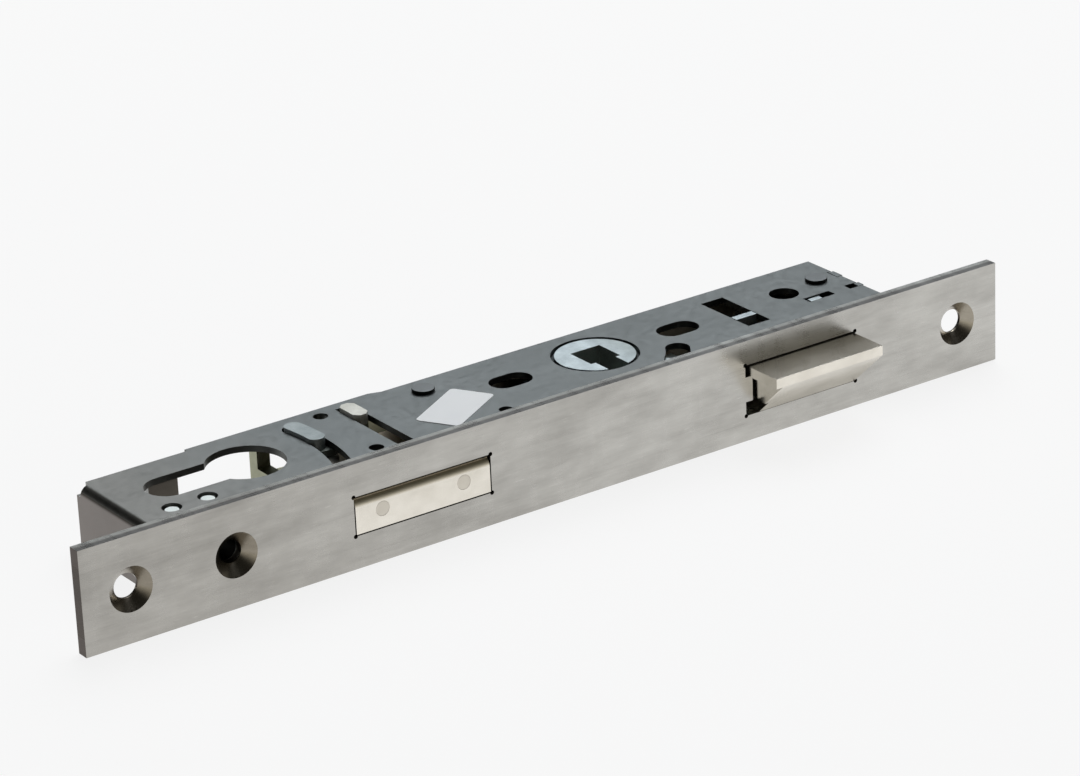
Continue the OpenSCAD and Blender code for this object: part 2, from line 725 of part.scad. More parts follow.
// Latch bolt's head, bevelled, with its guide groove
module latch_bolt() {
    color([0.83, 0.81, 0.76]) difference() {
        along_x([la0, la1])
            polygon([[-latch_out, la_half], [latch_in, la_half], [latch_in, -la_half], [0, -la_half],
                     [-latch_out, la_half - nose_h]]);
        block([la0 - e, la0 + groove_d], [-latch_out - e, latch_in + e],
              [-tongue_low - window_gap / 2, tongue_high + window_gap / 2]);
        block([la0 - e, la0 + corner_d], [-latch_out - e, latch_in + e], [-half, -tongue_low]);
        // Seat of the tail and pocket of the spring
        block([la0 + corner_d - e, tail_x1], [tail_seat, latch_in + e], tail_z);
        translate([spring_x, 0, 0]) rotate([-90, 0, 0]) cylinder(r = spring_pocket, h = latch_in + e);
        latch_rivets();
    }
}

// Latch's tail: a plate with the tab in the cover's slot and the lug that the follower's arm pushes
module latch_tail() {
    lug_x = [lug_x0, arm_reach - 0.1];
    color([0.8, 0.83, 0.84]) difference() {
        union() {
            block([la0 + corner_d, tail_x1], [tail_seat, latch_in], tail_z);
            block(about(latch_tab_x, tail_tab_w / 2),
                  [latch_in - e, tail_tab_y + tail_t], tail_z);
            block(about(latch_tab_x, tail_tab_w / 2),
                  [tail_tab_y, tail_tab_y + tail_t], [tail_z[0], half]);
            // Link round the handle screw, and the lug
            block([lug_x0, la0 + corner_d + e], [front + 0.6, link_y], tail_z);
            block(lug_x, [front + 0.6, lug_face + lug_l], tail_z);
            block(lug_x, [lug_face, lug_face + lug_l], [tail_z[0], lug_top]);
        }
        latch_rivets();
    }
}

// Two rivets that hold the tail in the latch bolt
module latch_rivets() {
    color([0.7, 0.7, 0.68])
        for (x = [la0 + corner_d + latch_rivet_in, tail_x1 - latch_rivet_in])
            translate([x, (tail_seat + latch_in) / 2, -la_half]) cylinder(r = latch_rivet_r, h = la_half - 1.5);
}

// Angle bracket beside the latch, its tab in the cover's small slot
module latch_guide() {
    tab_x0 = bracket_x[1] + 0.6;
    color([0.8, 0.83, 0.84]) {
        block(bracket_x, [forend_t, bracket_leg_y[1]], inner * [-1, 1]);
        block([bracket_x[0], bracket_x[0] + bracket_l], bracket_leg_y, inner * [-1, 1]);
        block([tab_x0, tab_x0 + bracket_tab_w], bracket_leg_y, [inner - e, half - 0.2]);
    }
}

// Points of one ring of a spring's wire, at a turn counted in curls
function wire_ring(t, r, wire, pitch) =
    let (a = 360 * t, out = [cos(a), 0, sin(a)], run = 2 * PI * r,
         ahead = [-sin(a) * run, pitch, cos(a) * run] / norm([run, pitch]),
         up = cross(ahead, out))
    [for (k = [0:5]) r * out + [0, pitch * t, 0] + wire / 2 * (cos(60 * k) * out + sin(60 * k) * up)];

// A coil spring along Y as one unbroken tube
module coil_spring(r, wire, l, curls) {
    steps = curls * 8;
    pitch = (l - wire) / curls;
    rings = [for (i = [0:steps]) wire_ring(i / 8, r, wire, pitch)];
    points = [for (ring = rings) for (p = ring) p + [0, wire / 2, 0]];
    sides = [for (i = [0:steps - 1]) for (k = [0:5])
        let (a = 6 * i + k, b = 6 * i + (k + 1) % 6)
        each [[a, b, b + 6], [a, b + 6, a + 6]]];
    ends = [for (k = [1:4]) each [[0, k + 1, k], [6 * steps, 6 * steps + k, 6 * steps + k + 1]]];
    gaps = [for (i = [0:steps - 8]) for (m = [5:11]) if (i + m <= steps)
        norm(r * [cos(45 * i) - cos(45 * (i + m)), pitch * m / 8 / r, sin(45 * i) - sin(45 * (i + m))]) - wire];
    echo(str("least gap in a spring: ", min(gaps)));
    polyhedron(points, concat(sides, ends));
}

// Spring that pushes the latch out
module latch_spring() {
    color([0.55, 0.56, 0.56]) translate([spring_x, 0.1, 0])
        coil_spring(latch_coil_r, latch_wire, rear - 0.2, latch_curls);
}

// Peg on the back wall inside the latch spring
module latch_spring_peg() {
    color([0.6, 0.61, 0.6]) translate([spring_x, rear - latch_peg[1], 0]) rotate([-90, 0, 0])
        cylinder(r = latch_peg[0], h = latch_peg[1]);
}

// Spring that turns the follower back
module follower_spring() {
    color([0.55, 0.56, 0.56]) translate([follower_spring_x, front + 0.1, 0])
        coil_spring(follower_coil_r, follower_wire, lug_under - front - 0.3, follower_curls);
}

// Peg on the front flange inside the follower spring
module follower_spring_peg() {
    color([0.6, 0.61, 0.6]) translate([follower_spring_x, front, 0]) rotate([-90, 0, 0])
        cylinder(r = follower_peg[0], h = follower_peg[1]);
}

forend();
case_body();
case_cover();
case_rivets();
cylinder_screw_block();
label();
deadbolt();
deadbolt_pins();
deadbolt_tail();
deadbolt_rivets();
tumbler();
tumbler_spring();
follower();
follower_spring();
follower_spring_peg();
latch_bolt();
latch_tail();
latch_rivets();
latch_spring();
latch_spring_peg();
latch_guide();
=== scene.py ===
"""Looks of a mortise sashlock lying on its side: materials, small detail, studio light and camera."""
import math

import bpy
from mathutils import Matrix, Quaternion, Vector

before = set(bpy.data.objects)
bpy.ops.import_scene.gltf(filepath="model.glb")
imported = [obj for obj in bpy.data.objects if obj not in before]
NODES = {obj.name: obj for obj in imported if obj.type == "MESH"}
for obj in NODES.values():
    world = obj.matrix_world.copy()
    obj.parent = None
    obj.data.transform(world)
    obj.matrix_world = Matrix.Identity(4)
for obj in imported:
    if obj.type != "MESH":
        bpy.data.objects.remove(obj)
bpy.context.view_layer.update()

MM = 0.001

# Places on the lock in millimetres, on the part's own axes, a hair past the faces that they stand for
COVER_UNDERSIDE = 5.95
CASE_X = (-124.4, 70.6)
CASE_Y = (0, 36.95)
CASE_Z = (-6.05, 6.05)
CYLINDER_PART_X = -60
COVER_END_X = (-75, -118)
BEND_X = (-126, -122.9)
BEND_Z = (4.9, 8)
PAST_BEND_X = -123.3
END_WALL_X = -124.5
FOLLOWER_Y = 25
FOLLOWER_WALL_R = 9
FOLLOWER_FACE_R = 9.2
FOLLOWER_SIDE_X = (2, 8)
FOREND_LOW_X = (0, -110)
FOREND_RIM_Z = 11.5
FOREND_FRONT_Y = (1.9, 1.3)
FOREND_BACK_Y = (1.5, 2.0)
CONE_Y = (-0.5, 2.99)
CONE_Z = (-8, 8)
BLOCK_BORE_X = -110.2
BLOCK_BORE_R = 2.75
BLOCK_FRONT_Y = 4.6

# Parts of the normal's length along one axis, from which a face counts as one or the other
WALL_TILT = (0.45, 0.25)
BROAD_FACE = 0.7
END_FACE = 0.9
LEVEL_FACE = 0.8
ROLLED_FACE = 0.6
CONE_TILT = (0.96, 0.9)
BEND_SIDE_TILT = (0.2, 0.4)
BEND_TOP_TILT = (0.15, 0.35)
ROUND_START = (0.1, 0.55)
ROUND_END = (0.76, 0.72)
SHADE_START = (0.80, 0.82)
SHADE_END = (0.97, 0.94)


# Node helpers

def join(tree, source, socket):
    """Links a socket, or sets a plain value."""
    if isinstance(source, bpy.types.NodeSocket):
        tree.links.new(source, socket)
    else:
        socket.default_value = source


def calc(tree, operation, a, b=0.0):
    """Output of a Math node over two sockets or numbers."""
    node = tree.nodes.new("ShaderNodeMath")
    node.operation = operation
    join(tree, a, node.inputs[0])
    join(tree, b, node.inputs[1])
    return node.outputs[0]


def product(tree, *values):
    """Product of several values or masks."""
    result = values[0]
    for value in values[1:]:
        result = calc(tree, "MULTIPLY", result, value)
    return result


def blend(tree, *shares):
    """Sum of values, each given with its weight."""
    value, weight = shares[0]
    result = calc(tree, "MULTIPLY", value, weight)
    for value, weight in shares[1:]:
        result = calc(tree, "ADD", result, calc(tree, "MULTIPLY", value, weight))
    return result


def spread(tree, value, low, high, out_low=0.0, out_high=1.0):
    """A value stretched from one span to another, clamped."""
    node = tree.nodes.new("ShaderNodeMapRange")
    join(tree, value, node.inputs["Value"])
    for name, number in (("From Min", low), ("From Max", high), ("To Min", out_low), ("To Max", out_high)):
        node.inputs[name].default_value = number
    return node.outputs["Result"]


def over(tree, value, limit):
    """1 above a limit, else 0."""
    return calc(tree, "GREATER_THAN", value, limit)


def under(tree, value, limit):
    """1 below a limit, else 0."""
    return calc(tree, "LESS_THAN", value, limit)


def size(tree, value):
    """A value without its sign."""
    return calc(tree, "ABSOLUTE", value)


def within(tree, value, span):
    """1 between two places in millimetres, else 0."""
    return product(tree, over(tree, value, span[0] * MM), under(tree, value, span[1] * MM))


def along(tree, value, span):
    """Rises from 0 at the first place in millimetres to 1 at the second."""
    return spread(tree, value, span[0] * MM, span[1] * MM)


def distance(tree, a, b):
    """Length of the diagonal over two legs."""
    return calc(tree, "SQRT", calc(tree, "ADD", product(tree, a, a), product(tree, b, b)))


def tint(tree, factor, low, high):
    """Colour between two colours, which are sockets or triples."""
    node = tree.nodes.new("ShaderNodeMix")
    node.data_type = "RGBA"
    join(tree, factor, node.inputs["Factor"])
    for socket, colour in zip((node.inputs[6], node.inputs[7]), (low, high)):
        join(tree, colour if isinstance(colour, bpy.types.NodeSocket) else (*colour, 1), socket)
    return node.outputs[2]


def split(tree, output):
    """X, Y and Z of one of the Texture Coordinate node's outputs."""
    node = tree.nodes.new("ShaderNodeSeparateXYZ")
    place = tree.nodes.new("ShaderNodeTexCoord")
    tree.links.new(place.outputs[output], node.inputs[0])
    return node.outputs


def noise(tree, stretch, detail=3.0, roughness=0.5, shift=0.0):
    """Noise in the object's own space; stretch holds its waves per millimetre along X, Y and Z."""
    place = tree.nodes.new("ShaderNodeTexCoord")
    mapping = tree.nodes.new("ShaderNodeMapping")
    mapping.inputs["Scale"].default_value = [s / MM for s in stretch]
    mapping.inputs["Location"].default_value = (shift, shift, shift)
    tree.links.new(place.outputs["Object"], mapping.inputs["Vector"])
    node = tree.nodes.new("ShaderNodeTexNoise")
    node.inputs["Scale"].default_value = 1.0
    node.inputs["Detail"].default_value = detail
    node.inputs["Roughness"].default_value = roughness
    tree.links.new(mapping.outputs[0], node.inputs["Vector"])
    return node.outputs["Fac"]


def value_group(build, labels, *inner):
    """A node group that is named after its function and puts out what it returns."""
    group = bpy.data.node_groups.new(build.__name__.replace("_", " "), "ShaderNodeTree")
    for label in labels:
        group.interface.new_socket(label, in_out="OUTPUT", socket_type="NodeSocketFloat")
    end = group.nodes.new("NodeGroupOutput")
    values = build(group, *(split(group, output) for output in inner))
    for socket, value in zip(end.inputs, values if len(labels) > 1 else [values]):
        join(group, value, socket)
    return group


# Grains: what the surface of each metal does, as tone, gloss and height

def brushed_grain(tree):
    """Long fine scratches along X, with a few deeper ones and wide cloudy rubbing on the broad faces."""
    broad_face = over(tree, size(tree, split(tree, "Normal")["Y"]), BROAD_FACE)
    fine = noise(tree, (0.05, 7, 7), 4, 0.6)
    broad = noise(tree, (0.015, 1.1, 1.1), 3, 0.6, 3)
    deep = spread(tree, noise(tree, (0.03, 3.2, 3.2), 1, 0.5, 7), 0.66, 0.78)
    deep = product(tree, deep, broad_face)
    cloud = spread(tree, noise(tree, (0.03, 0.02, 0.09), 3, 0.6, 11), 0.35, 0.65)
    blotch = spread(tree, noise(tree, (0.09, 0.05, 0.30), 4, 0.6, 21), 0.35, 0.65)
    scuff = spread(tree, noise(tree, (0.22, 0.5, 2.2), 3, 0.6, 31), 0.62, 0.72)
    patch = spread(tree, noise(tree, (0.06, 0.05, 0.10), 2, 0.5, 41), 0.45, 0.60)
    scuffed = product(tree, scuff, patch, broad_face)
    smear = noise(tree, (0.35, 0.05, 0.05), 2, 0.6, 5)
    tone = blend(tree, (fine, 0.35), (broad, 0.25), (cloud, 0.3), (blotch, 0.25), (deep, -0.12),
                 (scuffed, 0.35))
    gloss = blend(tree, (smear, 0.45), (fine, 0.55))
    height = blend(tree, (fine, 1), (deep, -0.8))
    return spread(tree, tone, 0.25, 0.95), spread(tree, gloss, 0.3, 0.7), height


def sheet_grain(tree):
    """Rolled and plated sheet: faint streaks along X over a fine mottle."""
    streak = noise(tree, (0.08, 2.4, 2.4), 3, 0.6)
    mottle = noise(tree, (0.55, 0.55, 0.55), 4, 0.6, 4)
    cloud = noise(tree, (0.05, 0.09, 0.05), 2, 0.5, 9)
    speck = noise(tree, (5, 5, 5), 2, 0.5, 2)
    tone = blend(tree, (streak, 0.15), (mottle, 0.35), (cloud, 0.45))
    gloss = blend(tree, (mottle, 0.6), (speck, 0.4))
    return spread(tree, tone, 0.32, 0.68), spread(tree, gloss, 0.35, 0.65), speck


def casting_grain(tree):
    """Die casting: soft waves, fine skin and a few pits."""
    wave = noise(tree, (0.3, 0.3, 0.3), 3, 0.6)
    skin = noise(tree, (3.5, 3.5, 3.5), 3, 0.6, 6)
    pits = spread(tree, noise(tree, (1.6, 1.6, 1.6), 1, 0.5, 12), 0.68, 0.74)
    tone = spread(tree, blend(tree, (wave, 0.7), (skin, 0.3)), 0.35, 0.65)
    return blend(tree, (tone, 1), (pits, -0.3)), skin, blend(tree, (skin, 1), (pits, -1))


def milled_grain(tree):
    """Plated block: milling lines across Y, softened by the plating."""
    line = noise(tree, (0.25, 4.5, 0.25), 2, 0.5)
    cloud = noise(tree, (0.12, 0.2, 0.2), 3, 0.5, 8)
    skin = noise(tree, (4, 4, 4), 2, 0.5, 5)
    tone = blend(tree, (cloud, 0.7), (line, 0.3))
    gloss = blend(tree, (cloud, 0.6), (skin, 0.4))
    return spread(tree, tone, 0.35, 0.65), gloss, blend(tree, (line, 1), (skin, 0.5))


def wire_grain(tree):
    """Drawn wire: fine scratches and darker patches of oil."""
    fine = noise(tree, (3, 3, 3), 3, 0.6)
    oil = noise(tree, (0.4, 0.4, 0.4), 2, 0.5, 3)
    return oil, fine, fine


def paper_grain(tree):
    """Coated paper: fibres that barely show, and a faint crease."""
    fibre = noise(tree, (2.5, 2.5, 2.5), 4, 0.7)
    cloud = noise(tree, (0.12, 0.12, 0.12), 2, 0.5, 4)
    return spread(tree, cloud, 0.3, 0.7), fibre, blend(tree, (fibre, 1), (cloud, 4))


# Masks: where on a piece its surface differs, mostly painted shade and highlight, by the normal and the place
# in the object's own space

def any_wall(tree, normal, place):
    """1 on walls that stand upright, 0 on faces that look up or down."""
    return spread(tree, size(tree, normal["Z"]), *WALL_TILT)


def below_cover_painted_shade(tree, normal, place):
    """All that lies under the cover's underside, darkened as painted shade."""
    return under(tree, place["Z"], COVER_UNDERSIDE * MM)


def cut_edges_painted_shade(tree, normal, place):
    """The sheet's cut edges: walls within the thickness of either plate, past the bend, darkened as painted
    shade.
    """
    in_plate = over(tree, size(tree, place["Z"]), COVER_UNDERSIDE * MM)
    return product(tree, any_wall(tree, normal, place), in_plate, over(tree, place["X"], PAST_BEND_X * MM))


def cover_bend_painted_shade(tree, normal, place):
    """The outside of the cover's bend, darkened as a painted dark reflection."""
    side = spread(tree, size(tree, normal["X"]), *BEND_SIDE_TILT)
    top = spread(tree, normal["Z"], *BEND_TOP_TILT)
    return product(tree, side, top, within(tree, place["X"], BEND_X), within(tree, place["Z"], BEND_Z))


def cover_end_painted_light(tree, normal, place):
    """The cover's lower end, brighter towards the bend as painted light."""
    return along(tree, place["X"], COVER_END_X)


def end_wall_painted_shade(tree, normal, place):
    """The bent end wall below the bend, darkened as painted shade."""
    return product(tree, under(tree, normal["X"], -END_FACE), under(tree, place["X"], END_WALL_X * MM))


def case_inside(tree, place):
    """Faces that look into the case."""
    spans = (("X", CASE_X), ("Y", CASE_Y), ("Z", CASE_Z))
    return product(tree, *(within(tree, place[axis], span) for axis, span in spans))


def case_low_shade_and_grease(tree, normal, place):
    """The inside of the case round the cylinder, darkened as painted shade with some grease."""
    return product(tree, case_inside(tree, place), under(tree, place["X"], CYLINDER_PART_X * MM))


def case_high_painted_light(tree, normal, place):
    """The inside of the case beyond the cylinder, lightened as painted light."""
    return product(tree, case_inside(tree, place), over(tree, place["X"], CYLINDER_PART_X * MM))


def follower_radius(tree, place):
    """Distance from the follower's axis."""
    return distance(tree, place["X"], calc(tree, "SUBTRACT", place["Y"], FOLLOWER_Y * MM))


def follower_walls_painted_shade(tree, normal, place):
    """The walls of the follower's square and channel, inside its face, darkened as painted shade."""
    inner = under(tree, follower_radius(tree, place), FOLLOWER_WALL_R * MM)
    return product(tree, any_wall(tree, normal, place), inner)


def follower_ring_painted_shade(tree, normal, place):
    """The step and rim outside the follower's face, darkened as painted shade, with a few lighter streaks as
    painted highlights.
    """
    ring = over(tree, follower_radius(tree, place), FOLLOWER_FACE_R * MM)
    return product(tree, ring, spread(tree, noise(tree, (0.16, 0.16, 0.0), 1, 0.5, 2), 0.62, 0.52))


def follower_side(tree, normal, place):
    """The follower's face, darker towards its upper side."""
    return along(tree, place["X"], FOLLOWER_SIDE_X)


def bolt_round_painted_shade(tree, normal, place):
    """The deadbolt's rounded edge, with painted shade on it."""
    return product(tree, spread(tree, normal["Z"], *ROUND_START), spread(tree, normal["Z"], *ROUND_END))


def bolt_top_painted_shadow(tree, normal, place):
    """The upper end of the deadbolt's rounded edge, in the window's gap, darkened as a painted shadow line."""
    return product(tree, spread(tree, normal["Z"], *SHADE_START), spread(tree, normal["Z"], *SHADE_END))


def forend_low(tree, normal, place):
    """The forend's lower part, darker towards its lower end."""
    return along(tree, place["X"], FOREND_LOW_X)


def forend_ends_painted_shade(tree, normal, place):
    """The forend's two sawn ends, darkened as painted shade."""
    return over(tree, size(tree, normal["X"]), END_FACE)


def forend_cones_painted_shade(tree, normal, place):
    """The countersinks' cones and the screw holes, darkened as painted shade."""
    slope = spread(tree, size(tree, normal["Y"]), *CONE_TILT)
    return product(tree, slope, within(tree, place["Y"], CONE_Y), within(tree, place["Z"], CONE_Z))


def forend_front_rims_painted_shade(tree, normal, place):
    """Front half of the forend's long edges, darkened as painted shade."""
    level = over(tree, size(tree, normal["Z"]), LEVEL_FACE)
    outer = over(tree, size(tree, place["Z"]), FOREND_RIM_Z * MM)
    return product(tree, level, outer, along(tree, place["Y"], FOREND_FRONT_Y))


def forend_back_rims_painted_highlight(tree, normal, place):
    """Rear half of the forend's long edges, where the edge is rolled, lightened as a painted highlight."""
    level = over(tree, size(tree, normal["Z"]), ROLLED_FACE)
    outer = over(tree, size(tree, place["Z"]), FOREND_RIM_Z * MM)
    return product(tree, level, outer, along(tree, place["Y"], FOREND_BACK_Y))


def block_bore_painted_shade(tree, normal, place):
    """The bore of the screw block, darkened as painted shade."""
    out = distance(tree, calc(tree, "SUBTRACT", place["X"], BLOCK_BORE_X * MM), place["Z"])
    return product(tree, under(tree, out, BLOCK_BORE_R * MM), over(tree, place["Y"], BLOCK_FRONT_Y * MM))


# Materials

# Finish: its name, grain, darkest and lightest colour, roughness span and relief
FINISHES = {
    "forend": ("brushed stainless", brushed_grain,
               (0.40, 0.39, 0.366), (0.63, 0.62, 0.586), (0.22, 0.38), 0.35),
    "sheet": ("plated sheet", sheet_grain,
              (0.215, 0.235, 0.237), (0.265, 0.287, 0.29), (0.36, 0.46), 0.10),
    "rivet": ("rivet steel", sheet_grain,
              (0.19, 0.205, 0.21), (0.24, 0.255, 0.26), (0.40, 0.50), 0.12),
    "zinc": ("zinc casting", casting_grain,
             (0.42, 0.48, 0.50), (0.60, 0.67, 0.69), (0.44, 0.58), 0.25),
    "bracket": ("bracket steel", casting_grain,
                (0.40, 0.46, 0.48), (0.60, 0.66, 0.68), (0.40, 0.52), 0.25),
    "block": ("screw block", casting_grain,
              (0.66, 0.71, 0.70), (0.78, 0.82, 0.80), (0.42, 0.55), 0.25),
    "tumbler": ("tumbler steel", casting_grain,
                (0.29, 0.33, 0.335), (0.40, 0.44, 0.445), (0.42, 0.54), 0.25),
    "nickel": ("satin nickel", milled_grain,
               (0.74, 0.70, 0.62), (0.86, 0.82, 0.74), (0.18, 0.28), 0.18),
    # The deadbolt's copy of the satin nickel, which carries the painted shade on its rounded edge.
    "bolt": ("satin bolt", milled_grain,
             (0.74, 0.70, 0.62), (0.86, 0.82, 0.74), (0.18, 0.28), 0.18),
    "tail": ("satin tail", casting_grain,
             (0.58, 0.58, 0.53), (0.72, 0.72, 0.67), (0.40, 0.52), 0.2),
    "pin": ("hardened pin", milled_grain,
            (0.58, 0.54, 0.47), (0.68, 0.64, 0.56), (0.24, 0.34), 0.2),
    "wire": ("spring wire", wire_grain,
             (0.20, 0.20, 0.20), (0.42, 0.42, 0.41), (0.22, 0.40), 0.1),
    "label": ("label paper", paper_grain,
              (0.93, 0.95, 0.96), (0.97, 0.985, 0.99), (0.45, 0.6), 0.2),
}
NOT_METAL = ("label",)
RELIEF_DEPTH = 0.01

# Finish, mask, what its colour is multiplied by there, and its roughness there if it differs; most of these
# multipliers are painted shade or highlight
CHANGES = (
    # Painted shade: the sheet's cut edges are darkened.
    ("sheet", cut_edges_painted_shade, (0.35, 0.34, 0.32)),
    # Painted shade with some grease: the inside of the case round the cylinder is darkened.
    ("sheet", case_low_shade_and_grease, (0.55, 0.48, 0.42)),
    # Painted light: the inside of the case beyond the cylinder is lightened.
    ("sheet", case_high_painted_light, (2.3, 1.95, 1.65)),
    # Painted dark reflection: the outside of the cover's bend is darkened.
    ("sheet", cover_bend_painted_shade, (0.35, 0.34, 0.32)),
    # Painted light: the cover grows brighter towards the bend.
    ("sheet", cover_end_painted_light, (1.25, 1.16, 1.10)),
    # Painted shade: the bent end wall is darkened.
    ("sheet", end_wall_painted_shade, (0.68, 0.61, 0.59)),
    # Painted shade: the deadbolt's rounded edge is darkened, and its roughness raised.
    ("bolt", bolt_round_painted_shade, (0.50, 0.47, 0.38), 0.5),
    # Painted shadow: a dark line at the top of the deadbolt's rounded edge.
    ("bolt", bolt_top_painted_shadow, (0.15, 0.15, 0.13)),
    # Painted shade: the rivet heads' sides are darkened.
    ("rivet", any_wall, (0.05, 0.05, 0.05)),
    # Painted shade: the walls of the follower's square and channel are darkened.
    ("zinc", follower_walls_painted_shade, (0.6, 0.59, 0.54)),
    # Painted shade with lighter painted highlight streaks on the ring round the follower.
    ("zinc", follower_ring_painted_shade, (0.12, 0.12, 0.12)),
    ("zinc", follower_side, (0.74, 0.74, 0.72)),
    # Painted shade: the screw block's bore is darkened.
    ("block", block_bore_painted_shade, (0.04, 0.04, 0.03)),
    # Painted shade: block, tumbler and tail are darkened under the cover.
    ("block", below_cover_painted_shade, (0.6, 0.6, 0.6)),
    ("tumbler", below_cover_painted_shade, (0.5, 0.5, 0.45)),
    ("tail", below_cover_painted_shade, (0.55, 0.56, 0.44)),
    ("forend", forend_low, (0.84, 0.83, 0.82)),
    # Painted shade: the forend's sawn ends are darkened.
    ("forend", forend_ends_painted_shade, (0.15, 0.12, 0.105)),
    # Painted shade: the countersinks' cones are darkened, and their roughness set.
    ("forend", forend_cones_painted_shade, (0.66, 0.61, 0.53), 0.26),
    # Painted shade: the front half of the forend's long edges is darkened.
    ("forend", forend_front_rims_painted_shade, (0.56, 0.575, 0.60)),
    # Painted highlight: the rear half of the forend's long edges is lightened.
    ("forend", forend_back_rims_painted_highlight, (1.22, 1.27, 1.30)),
)


def material(name, grain, low, high, gloss, relief, metallic):
    """A finish: two colours and two roughnesses that the grain runs between, and the strength of its relief."""
    made = bpy.data.materials.new(name)
    made.use_nodes = True
    tree = made.node_tree
    shader = tree.nodes["Principled BSDF"]
    shader.inputs["Metallic"].default_value = metallic
    group = tree.nodes.new("ShaderNodeGroup")
    group.node_tree = grain
    tree.links.new(tint(tree, group.outputs["Tone"], low, high), shader.inputs["Base Color"])
    tree.links.new(spread(tree, group.outputs["Gloss"], 0, 1, *gloss), shader.inputs["Roughness"])
    bump = tree.nodes.new("ShaderNodeBump")
    bump.inputs["Strength"].default_value = relief
    bump.inputs["Distance"].default_value = RELIEF_DEPTH * MM
    tree.links.new(group.outputs["Height"], bump.inputs["Height"])
    tree.links.new(bump.outputs["Normal"], shader.inputs["Normal"])
    return made


def change_where(made, mask, colour, rough=None):
    """Multiplies a finish's colour where a mask is 1, and sets its roughness there if one is given."""
    tree = made.node_tree
    shader = tree.nodes["Principled BSDF"]
    group = tree.nodes.new("ShaderNodeGroup")
    group.node_tree = mask
    mixed = tree.nodes.new("ShaderNodeMix")
    mixed.data_type = "RGBA"
    mixed.blend_type = "MULTIPLY"
    mixed.clamp_result = True
    tree.links.new(group.outputs["Mask"], mixed.inputs["Factor"])
    tree.links.new(shader.inputs["Base Color"].links[0].from_socket, mixed.inputs[6])
    mixed.inputs[7].default_value = (*colour, 1)
    tree.links.new(mixed.outputs[2], shader.inputs["Base Color"])
    if rough is not None:
        kept = shader.inputs["Roughness"].links[0].from_socket
        rest = calc(tree, "SUBTRACT", 1.0, group.outputs["Mask"])
        masked = calc(tree, "MULTIPLY", kept, rest)
        added = calc(tree, "MULTIPLY", group.outputs["Mask"], rough)
        tree.links.new(calc(tree, "ADD", masked, added), shader.inputs["Roughness"])


def make_materials():
    """One finish for each kind of surface on the lock."""
    groups = {}
    made = {}
    for key, (name, grain, *looks) in FINISHES.items():
        if grain not in groups:
            groups[grain] = value_group(grain, ("Tone", "Gloss", "Height"))
        made[key] = material(name, groups[grain], *looks, 0.0 if key in NOT_METAL else 1.0)
    for key, mask, *looks in CHANGES:
        if mask not in groups:
            groups[mask] = value_group(mask, ("Mask",), "Normal", "Object")
        change_where(made[key], groups[mask], *looks)
    return made


# Nodes

FINISH = {
    "forend": "forend",
    "case_body": "sheet", "case_cover": "sheet", "case_rivets": "rivet",
    "cylinder_screw_block": "block", "label": "label",
    "deadbolt": "bolt", "deadbolt_pins": "pin", "deadbolt_tail": "tail", "deadbolt_rivets": "pin",
    "tumbler": "tumbler", "tumbler_spring": "wire",
    "follower": "zinc", "follower_spring": "wire", "follower_spring_peg": "pin",
    "latch_bolt": "nickel", "latch_tail": "bracket", "latch_rivets": "pin",
    "latch_spring": "wire", "latch_spring_peg": "pin", "latch_guide": "bracket",
}

# Width of the broken edges, in millimetres
EDGES = {
    "forend": 0.1, "case_body": 0.12, "case_cover": 0.3, "case_rivets": 0.15, "cylinder_screw_block": 0.15,
    "deadbolt": 0.2, "deadbolt_pins": 0.1, "deadbolt_tail": 0.15, "tumbler": 0.2, "follower": 0.2,
    "latch_bolt": 0.12, "latch_tail": 0.15, "latch_guide": 0.15,
}
EDGE_SEGMENTS = 3
SHARP_ANGLE = math.radians(35)
FLAT_ANGLE = math.radians(0.2)
WELD_GAP = 0.0005
FACE_WEIGHT = 100


def dress_nodes(materials):
    """Gives every CAD node its finish and breaks the sharp edges."""
    for name, finish in FINISH.items():
        node = NODES[name]
        node.data.materials.clear()
        node.data.materials.append(materials[finish])
        if name not in EDGES:
            continue
        weld = node.modifiers.new("weld", "WELD")
        weld.merge_threshold = WELD_GAP * MM
        flat = node.modifiers.new("flat faces", "DECIMATE")
        flat.decimate_type = "DISSOLVE"
        flat.angle_limit = FLAT_ANGLE
        bevel = node.modifiers.new("broken edges", "BEVEL")
        bevel.width = EDGES[name] * MM
        bevel.segments = EDGE_SEGMENTS
        bevel.limit_method = "ANGLE"
        bevel.angle_limit = SHARP_ANGLE
        bevel.use_clamp_overlap = True
        evened = node.modifiers.new("even normals", "WEIGHTED_NORMAL")
        evened.weight = FACE_WEIGHT


# Floor

# The two edges that the lock rests on
FOREND_EDGE = Vector((0, 3, -12)) * MM
CASE_EDGE = Vector((0, 38.4, -7.5)) * MM
FLOOR_HALF = 2.5
FLOOR_COLOUR = (0.85, 0.85, 0.85, 1)
FLOOR_WHITE = (1.0, 1.0, 1.0, 1)
WHITE_SHARE = 0.85


def make_floor():
    """Pale floor under the forend's lower edge and the case's rear edge, so the lock leans on both."""
    rise = (CASE_EDGE - FOREND_EDGE).normalized()
    corners = [FOREND_EDGE + (Vector((x, 0, 0)) + rise * y) * FLOOR_HALF
               for x, y in ((-1, -1), (1, -1), (1, 1), (-1, 1))]
    mesh = bpy.data.meshes.new("floor")
    mesh.from_pydata(corners, [], [(0, 1, 2, 3)])
    floor = bpy.data.objects.new("floor", mesh)
    bpy.context.scene.collection.objects.link(floor)
    mesh.materials.append(make_floor_paint())


